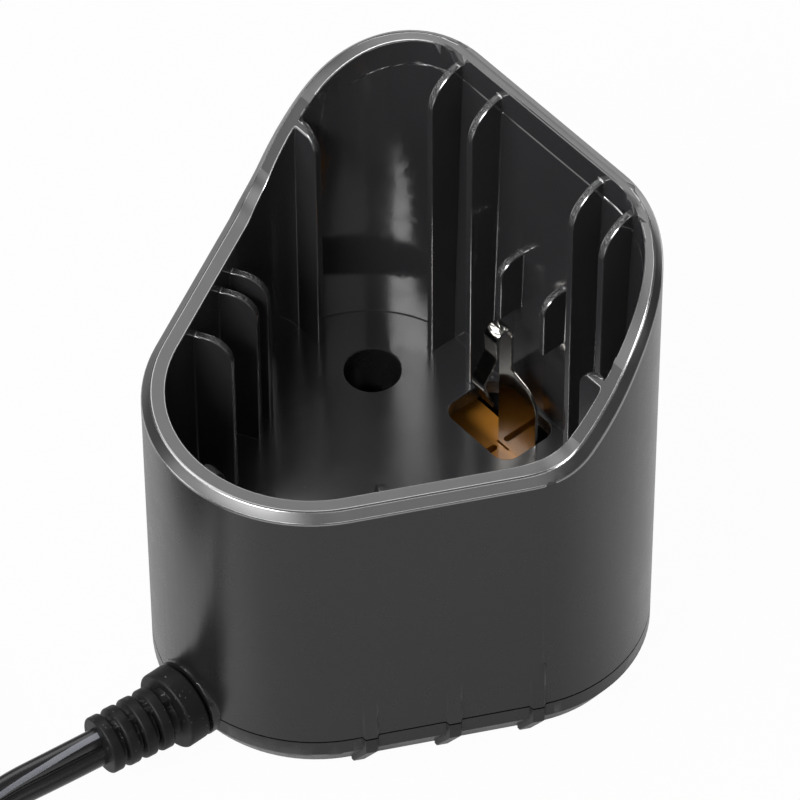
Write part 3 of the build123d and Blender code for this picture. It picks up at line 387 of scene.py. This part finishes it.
def flex_skin():
    """Glossy flex; the printed stripe runs along the upper core, at the angle that the attribute gives."""
    look = Finish("flex_skin", IOR=1.5)
    around = look.node("ShaderNodeAttribute", {"attribute_name": "around"}, output="Fac")
    worn = STRIPE_WEAR * (look.noise(1.2, 4.0, 0.6) - 0.5)
    stripe = ((STRIPE_HALF + worn - abs(around - STRIPE_MIDDLE)) * STRIPE_CRISPNESS).clamped()
    black = look.mix(look.noise(0.2), grey(0.008, 0.009), grey(0.013, 0.014))
    print_grey = look.mix(look.noise(0.4), (0.14, 0.145, 0.165, 1), (0.18, 0.185, 0.205, 1))
    look.feed("Base Color", look.mix(stripe, black, print_grey))
    look.feed("Roughness", 0.22 + 0.10 * look.noise(0.5, 4.0) + 0.2 * stripe)
    return look.material


def plated(name, colour, rough):
    """Plated or bare metal, a little uneven in tone and polish."""
    look = Finish(name, Metallic=1.0)
    dark = tuple(part * 0.8 for part in colour)
    look.feed("Base Color", look.mix(look.noise(0.5, 4.0), (*colour, 1), (*dark, 1)))
    look.feed("Roughness", rough + 0.12 * (look.noise(1.2, 4.0, stretch=(1, 1, 5)) - 0.5))
    return look.material


def lacquered(name, colour, rough):
    """The coat or sleeve of a small part."""
    look = Finish(name, IOR=1.5)
    dark = tuple(part * 0.75 for part in colour)
    look.feed("Base Color", look.mix(look.noise(0.6, 4.0), (*colour, 1), (*dark, 1)))
    look.feed("Roughness", rough + 0.1 * look.noise(1.5))
    return look.material


# Making pieces

def only(piece):
    """Leave one object selected and active."""
    for other in bpy.context.view_layer.objects:
        other.select_set(False)
    piece.select_set(True)
    bpy.context.view_layer.objects.active = piece


def merged_copy(node, name):
    """A copy of a solid's mesh with its triangles joined and its flat faces whole."""
    mesh = frame["nodes"][node].data.copy()
    mesh.materials.clear()
    piece = bpy.data.objects.new(name, mesh)
    bpy.context.scene.collection.objects.link(piece)
    only(piece)
    bpy.ops.object.mode_set(mode="EDIT")
    bpy.ops.mesh.select_all(action="SELECT")
    bpy.ops.mesh.remove_doubles(threshold=WELD * MM)
    bpy.ops.mesh.dissolve_limited(angle_limit=FLAT_ENOUGH)
    bpy.ops.object.mode_set(mode="OBJECT")
    return piece


def sharp_edges(mesh):
    """The sharp edges, each with the width of the narrower face beside it, in millimetres."""
    sides = {}
    for face in mesh.polygons:
        for key in face.edge_keys:
            sides.setdefault(key, []).append(face)
    widths = {}
    for edge in mesh.edges:
        faces = sides[edge.key]
        if len(faces) == 2 and faces[0].normal.angle(faces[1].normal, 0.0) > SHARP:
            start, end = (mesh.vertices[number].co for number in edge.key)
            widths[edge.key] = min(face.area for face in faces) / (end - start).length / MM
    return widths


def runs_on(mesh, edge, other):
    """Whether an edge carries on, more or less in line, from one that it meets."""
    joint = (set(edge) & set(other)).pop()
    ways = []
    for key in (edge, other):
        far = key[0] if key[1] == joint else key[1]
        ways.append(mesh.vertices[far].co - mesh.vertices[joint].co)
    return ways[0].angle(ways[1], 0.0) > IN_LINE


def roomy_edges(mesh, least, trim_from):
    """The sharp edges with room to be rounded; past trim_from, less those that end in mid-line."""
    widths = sharp_edges(mesh)
    meeting = {}
    for key in widths:
        for number in key:
            meeting.setdefault(number, []).append(key)
    chosen = {key for key, width in widths.items() if width > least}
    for _ in range(TRIM_ROUNDS):
        loose = set()
        for key in chosen:
            if mesh.vertices[key[0]].co.y / MM < trim_from:
                continue
            others = [other for number in key for other in meeting[number] if other not in chosen]
            if any(runs_on(mesh, key, other) for other in others):
                loose.add(key)
        chosen -= loose
    return chosen


def soften(piece, width, edge_slot=-1, lowest=-math.inf, highest=math.inf, trim_from=math.inf):
    """Round a piece's sharp edges a little between two heights, and shade it smooth between edges."""
    mesh = piece.data
    chosen = roomy_edges(mesh, EDGE_ROOM * width, trim_from)
    weights = []
    for edge in mesh.edges:
        heights = [mesh.vertices[number].co.z / MM for number in edge.key]
        inside = max(heights) > lowest and min(heights) < highest
        weights.append(1.0 if inside and edge.key in chosen else 0.0)
    mesh.attributes.new("bevel_weight_edge", "FLOAT", "EDGE").data.foreach_set("value", weights)
    edges = piece.modifiers.new("edges", "BEVEL")
    edges.limit_method = "WEIGHT"
    edges.width, edges.segments = width * MM, EDGE_SEGMENTS
    edges.material = edge_slot
    edges.use_clamp_overlap = False
    edges.miter_outer = "MITER_ARC"
    only(piece)
    bpy.ops.object.modifier_apply(modifier=edges.name)
    bpy.ops.object.shade_smooth_by_angle(angle=SHARP)
    flats = piece.modifiers.new("flats", "WEIGHTED_NORMAL")
    flats.keep_sharp = True
    bpy.ops.object.modifier_apply(modifier=flats.name)


def paint(piece, *materials):
    """Give a piece its finishes, in the order of their slots."""
    for material in materials:
        piece.data.materials.append(material)


def stand_for(piece, body, *nodes):
    """Ride a piece on a body, in place of the solids that it dresses."""
    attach(piece, body)
    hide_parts(*nodes)


def outline_depth(x, y):
    """How far a point lies inside the cup's outer outline, in millimetres."""
    x = abs(x)
    nose = Vector((0, NOSE_Y))
    heel = Vector((HEEL_SPACING / 2, NOSE_Y + CORNER_DEPTH))
    gap = heel - nose
    turn = math.acos((NOSE_RADIUS - HEEL_RADIUS) / gap.length) - math.atan2(gap.y, gap.x)
    outward = Vector((math.cos(turn), -math.sin(turn)))
    along = Vector((math.sin(turn), math.cos(turn)))
    spot = Vector((x, y))
    if (spot - nose).dot(along) < 0:
        return NOSE_RADIUS - (spot - nose).length
    if (spot - heel).dot(along) < 0:
        return NOSE_RADIUS - (spot - nose).dot(outward)
    if x < heel.x:
        return HEEL_RADIUS - (y - heel.y)
    return HEEL_RADIUS - (spot - heel).length


def cup_finish(face, corners, depths):
    """The slot of a cup face's finish, by its place and the way that it looks."""
    heights = [corners[number].z for number in face.vertices]
    insets = [depths[number] for number in face.vertices]
    lowest, highest = min(heights), max(heights)
    up = face.normal.z
    # Rounded edges high on the cup take the painted edge highlight.
    if face.material_index == EDGE and highest > EDGE_HIGHLIGHT_FROM:
        return EDGE
    # Downward faces at the seam take the painted seam shade.
    if highest < PARTING + SEAM_ROOM and up < -LOOKS_UP:
        return SEAM
    if lowest > RIM_FROM and up > LOOKS_UP and RIM_LEAST_DEPTH < max(insets) < RIM_MOST_DEPTH:
        return RIM_TOP
    if lowest > RIB_ENDS_FROM and min(insets) > RIB_ENDS_DEPTH and up > RIB_END_LOOKS_UP:
        return RIB_END
    if lowest > INSIDE_FROM and min(insets) > INSIDE_DEPTH:
        return INSIDE
    return OUTSIDE


def cup():
    """The cup: satin outside and rim, polished inside, coarse on the ribs' ends, with painted highlights on
    its edges.
    """
    piece = merged_copy("cup_housing", "cup")
    paint(piece, SATIN, POLISHED, RIM, SPARKED, EDGE_HIGHLIGHT, SEAM_SHADE)
    soften(piece, CUP_EDGE, edge_slot=EDGE, lowest=CUP_EDGES_FROM, trim_from=HEEL_TRIM_FROM)
    corners = [vertex.co / MM for vertex in piece.data.vertices]
    depths = [outline_depth(spot.x, spot.y) for spot in corners]
    for face in piece.data.polygons:
        face.material_index = cup_finish(face, corners, depths)
    stand_for(piece, BODY, "cup_housing")


def cover():
    """The base cover, with painted shade in the seam between it and the cup."""
    piece = merged_copy("base_cover", "base_cover_skin")
    soften(piece, COVER_EDGE, highest=PARTING - SEAM_ROOM)
    paint(piece, SATIN, SEAM_SHADE)
    corners = piece.data.vertices
    for face in piece.data.polygons:
        lowest = min(corners[number].co.z for number in face.vertices) / MM
        # Upward faces at the seam take the painted seam shade.
        if lowest > PARTING - SEAM_ROOM and face.normal.z > LOOKS_UP:
            face.material_index = COVER_SEAM
    stand_for(piece, BODY, "base_cover")


def softened(node, body, width, material):
    """A solid's own shape with its edges rounded, in one finish."""
    piece = merged_copy(node, node + "_skin")
    soften(piece, width)
    paint(piece, material)
    stand_for(piece, body, node)


def finish_solids(finishes):
    """Give solids that show as they are a finish each."""
    for node, material in finishes.items():
        for slot in frame["nodes"][node].material_slots:
            slot.material = material


# Flex

def smooth_step(part):
    """A rise from 0 to 1 that starts and ends gently."""
    part = min(max(part, 0.0), 1.0)
    return part * part * (3 - 2 * part)


def coil_point(turn):
    """Middle of the flex at a number of turns into the coil."""
    top = LOWER_TURNS + CLIMB
    radius = COIL_RADIUS - min(turn, top) * TURN_PITCH
    if turn > top:
        radius += CLIMB_ROOM * smooth_step((turn - top) / CLIMB)
        radius += max(turn - top - CLIMB, 0) * TURN_PITCH
    angle = -2 * math.pi * turn
    x = COIL_CENTRE[0] + radius * math.cos(angle)
    y = COIL_CENTRE[1] + radius * math.sin(angle)
    return (x, y, FLEX_BED + LAYER_PITCH * smooth_step((turn - LOWER_TURNS) / CLIMB))


def flex_route():
    """The flex's points: strain relief, coil and supply."""
    route = [
        (-1.133, -40.881, 6.05),
        (-1.865, -46.836, 6.05),
        (-2.9, -53.8, 6.0),
        (-3.0, -60.7, 5.1),
        (-1.9, -67.5, FLEX_BED + 0.35),
        (-1.0, -74.05, FLEX_BED),
    ]
    turns = LOWER_TURNS + 2 * CLIMB + UPPER_TURNS
    for index in range(round(turns * POINTS_PER_TURN) + 1):
        route.append(coil_point(index / POINTS_PER_TURN))
    route += [(-1.0, -83.95, 8.7), (-1.0, -88.8, 8.7), (-1.0, -93.8, 9.3), (-1.0, -98.8, 9.3)]
    return [Vector(point) * MM for point in route]


def route_line(points):
    """Points along a smooth spline with the given control points."""
    curve = bpy.data.curves.new("flex_route", "CURVE")
    curve.dimensions = "3D"
    curve.resolution_u = STEPS_PER_POINT
    spline = curve.splines.new("NURBS")
    spline.points.add(len(points) - 1)
    for point, place in zip(spline.points, points):
        point.co = (*place, 1.0)
    spline.order_u = 3
    spline.use_endpoint_u = True
    holder = bpy.data.objects.new("flex_route", curve)
    bpy.context.scene.collection.objects.link(holder)
    bpy.context.view_layer.update()
    mesh = bpy.data.meshes.new_from_object(holder)
    line = [vertex.co.copy() for vertex in mesh.vertices]
    bpy.data.objects.remove(holder)
    bpy.data.meshes.remove(mesh)
    return line


def twin_outline():
    """The flex's section, two round cores joined at their sides: across, up, and round the upper core."""
    reach = math.degrees(math.acos(CORE_SPACING / CORE)) + WEB_REACH
    outline = []
    for side in (1, -1):
        for step in range(CORE_STEPS + 1):
            angle = math.radians(reach - 90 + (360 - 2 * reach) * step / CORE_STEPS)
            across = math.cos(angle) * CORE / 2
            up = math.sin(angle) * CORE / 2 + CORE_SPACING / 2
            outline.append((across * side * MM, up * side * MM, angle if side > 0 else -math.pi))
    return outline


def flex_mesh(line):
    """The section swept along the line, with each corner's angle round the upper core."""
    outline = twin_outline()
    corners, faces, around = [], [], []
    gone = 0.0
    for index, spot in enumerate(line):
        before, after = line[max(index - 1, 0)], line[min(index + 1, len(line) - 1)]
        heading = (after - before).normalized()
        gone += (spot - before).length / MM
        across = Vector((0, 0, 1)).cross(heading).normalized()
        up = heading.cross(across)
        tilt = EXIT_TILT * (1 - smooth_step(gone / EXIT_TILT_LENGTH))
        lean = Matrix.Rotation(tilt, 3, heading)
        across, up = lean @ across, lean @ up
        drift = STRIPE_DRIFT * smooth_step(gone / STRIPE_DRIFT_LENGTH)
        for side, rise, angle in outline:
            corners.append(spot + across * side + up * rise)
            around.append(angle + drift)
    count = len(outline)
    for ring in range(len(line) - 1):
        for number in range(count):
            here = ring * count + number
            beside = ring * count + (number + 1) % count
            faces.append((here, beside, beside + count, here + count))
    faces.append(tuple(reversed(range(count))))
    faces.append(tuple(range((len(line) - 1) * count, len(line) * count)))
    mesh = bpy.data.meshes.new("flex")
    mesh.from_pydata(corners, [], faces)
    mesh.attributes.new("around", "FLOAT", "POINT").data.foreach_set("value", around)
    return mesh


def flex():
    """Twin flex, leaning at the strain relief and on edge in the coil."""
    line = route_line(flex_route())
    piece = bpy.data.objects.new("flex", flex_mesh(line))
    bpy.context.scene.collection.objects.link(piece)
    only(piece)
    bpy.ops.object.mode_set(mode="EDIT")
    bpy.ops.mesh.select_all(action="SELECT")
    bpy.ops.mesh.normals_make_consistent(inside=False)
    bpy.ops.object.mode_set(mode="OBJECT")
    bpy.ops.object.shade_smooth_by_angle(angle=FLEX_SMOOTH)
    paint(piece, flex_skin())
    stand_for(piece, BODY, "cord_lead", "cord_coil", "cord_tail")


# Set

def place_camera():
    """Camera at the photograph's place; the aim point falls on its row, in the middle column."""
    flat_right = Vector((math.sin(CAMERA_SIDE_ANGLE), math.cos(CAMERA_SIDE_ANGLE), 0))
    flat_ahead = Vector((-math.cos(CAMERA_SIDE_ANGLE), math.sin(CAMERA_SIDE_ANGLE), 0))
    sky = Vector((0, 0, 1))
    ahead = flat_ahead * math.cos(CAMERA_HEIGHT_ANGLE) - sky * math.sin(CAMERA_HEIGHT_ANGLE)
    up = flat_ahead * math.sin(CAMERA_HEIGHT_ANGLE) + sky * math.cos(CAMERA_HEIGHT_ANGLE)
    right = flat_right * math.cos(CAMERA_ROLL) - up * math.sin(CAMERA_ROLL)
    up = flat_right * math.sin(CAMERA_ROLL) + up * math.cos(CAMERA_ROLL)
    spot = AIM_POINT - ahead * AIM_DISTANCE
    rise = (AIM_ROW - PHOTO_SIZE / 2) / FOCAL_PIXELS
    look = (ahead + up * rise).normalized()
    up = right.cross(look)
    data = bpy.data.cameras.new("camera")
    data.sensor_width, data.lens = SENSOR_WIDTH, SENSOR_WIDTH * FOCAL_PIXELS / PHOTO_SIZE
    data.clip_start, data.clip_end = NEAREST_SEEN, FARTHEST_SEEN
    camera = bpy.data.objects.new("camera", data)
    axes = Matrix((right, up, -look)).transposed().to_4x4()
    camera.matrix_world = Matrix.Translation(spot * MM) @ axes
    bpy.context.scene.collection.objects.link(camera)
    bpy.context.scene.camera = camera


def softbox(name, towards, distance, width, height, glow):
    """Lamp in a direction from the cup, aimed at it; glow is its brightness to look at."""
    data = bpy.data.lights.new(name, "AREA")
    data.shape, data.size, data.size_y = "RECTANGLE", width, height
    data.energy = glow * math.pi * width * height
    lamp = bpy.data.objects.new(name, data)
    way = Vector(towards).normalized()
    lamp.location = LAMPS_AIM + way * distance
    lamp.rotation_euler = way.to_track_quat("Z", "Y").to_euler()
    bpy.context.scene.collection.objects.link(lamp)


def floor():
    """Pale floor, white to the camera but for the cup's soft shadow, with painted pools of light ahead of
    the nose and beyond the heel that only mirrors see.
    """
    bpy.ops.object.select_all(action="DESELECT")
    bpy.ops.mesh.primitive_plane_add(size=FLOOR_SIZE, location=(0, 0, 0))
    ground = bpy.context.object
    ground.name = "floor"
    look = Finish("floor", Roughness=0.9, Specular_IOR_Level=0.0)
    look.feed("Base Color", grey(FLOOR_TONE))
    seen = look.node("ShaderNodeLightPath", output="Is Camera Ray")
    mirrored = look.node("ShaderNodeLightPath", output="Is Glossy Ray")
    through = look.node("ShaderNodeLightPath", output="Is Transmission Ray")
    in_front = ((AHEAD_FROM - look.along("Y")) / AHEAD_FADE).clamped()
    ahead = in_front * ((AHEAD_SIDE - look.along("X")) / AHEAD_SIDE_FADE).clamped()
    beyond = ((look.along("Y") - BEYOND_FROM) / BEYOND_FADE).clamped()
    # Painted light: zones ahead of the nose and beyond the heel glow whiter, seen only in reflections.
    mirrored_painted_light = FLOOR_MIRRORED + AHEAD_WHITE * ahead + BEYOND_WHITE * beyond
    part = (seen * FLOOR_SEEN + mirrored * mirrored_painted_light + through).clamped()
    pale = Signal(look, look.shader.outputs[0])
    white = look.node("ShaderNodeEmission", None, {"Color": grey(1), "Strength": 1.0})
    mixed = look.node("ShaderNodeMixShader", None, {0: part, 1: pale, 2: white})
    look.tree.links.new(mixed.socket, look.output.inputs["Surface"])
    paint(ground, look.material)


def light():
    """A dim even world and the softboxes."""
    world = bpy.data.worlds.new("studio")
    bpy.context.scene.world = world
    world.use_nodes = True
    background = world.node_tree.nodes["Background"]
    background.inputs["Color"].default_value = grey(1)
    background.inputs["Strength"].default_value = WORLD_LIGHT
    for name, values in SOFTBOXES.items():
        softbox(name, *values)
    bpy.context.scene.view_settings.view_transform = "Standard"


SATIN = moulded_black("satin_outside", rough=0.28, spread=0.08, grain=5.0, depth=0.012, tone=0.010)
POLISHED = polished_inside()
RIM = moulded_black("satin_rim", rough=0.30, spread=0.10, grain=3.0, depth=0.01, gloss=1.0)
SPARKED = sparked_ends()
# Painted highlight for the cup's edges.
EDGE_HIGHLIGHT = painted_edge_highlights()
# Painted shade for the seam between cup and cover.
SEAM_SHADE = painted_seam_shade()
NICKEL = bright_nickel()
RUBBER = soft_black()
CASE = moulded_black("case_black", rough=0.42, spread=0.10, grain=4.0, depth=0.02)
BOARD = amber_board()
STEEL = plated("zinc_screws", (0.62, 0.62, 0.60), rough=0.32)
BRASS = plated("pin_metal", (0.72, 0.66, 0.50), rough=0.25)
IRON = plated("core_sheets", (0.30, 0.30, 0.31), rough=0.45)
COPPER = plated("winding_wire", (0.62, 0.28, 0.13), rough=0.35)
CAN_BLUE = (0.03, 0.04, 0.10)
COAT_BLACK = (0.02, 0.02, 0.02)

cup()
cover()
softened("strain_relief", BODY, RELIEF_EDGE, RUBBER)
for place in ("heel", "side"):
    softened(place + "_contact_blade", BODY, CONTACT_EDGE, NICKEL)
    softened(place + "_contact_leaf", place + "_leaf", CONTACT_EDGE, NICKEL)
for half in ("supply_base", "supply_lid"):
    softened(half, BODY, CASE_EDGE, CASE)
flex()
finish_solids({
    "cover_screws": STEEL,
    "board_screws": STEEL,
    "supply_screws": STEEL,
    "circuit_board": BOARD,
    "supply_board": BOARD,
    "supply_pins": BRASS,
    "supply_boot": RUBBER,
    "supply_core": IRON,
    "supply_winding": COPPER,
    "supply_capacitor": lacquered("can_sleeve", CAN_BLUE, rough=0.25),
    "smoothing_capacitor": lacquered("can_sleeve_small", CAN_BLUE, rough=0.25),
    "charge_resistor": lacquered("resistor_coat", (0.52, 0.42, 0.26), rough=0.3),
    "blocking_diode": lacquered("diode_coat", COAT_BLACK, rough=0.3),
    "positive_wire": lacquered("positive_sleeve", (0.35, 0.02, 0.02), rough=0.3),
    "negative_wire": lacquered("negative_sleeve", COAT_BLACK, rough=0.3),
    "cord_tie": RUBBER,
})

place_camera()
floor()
light()
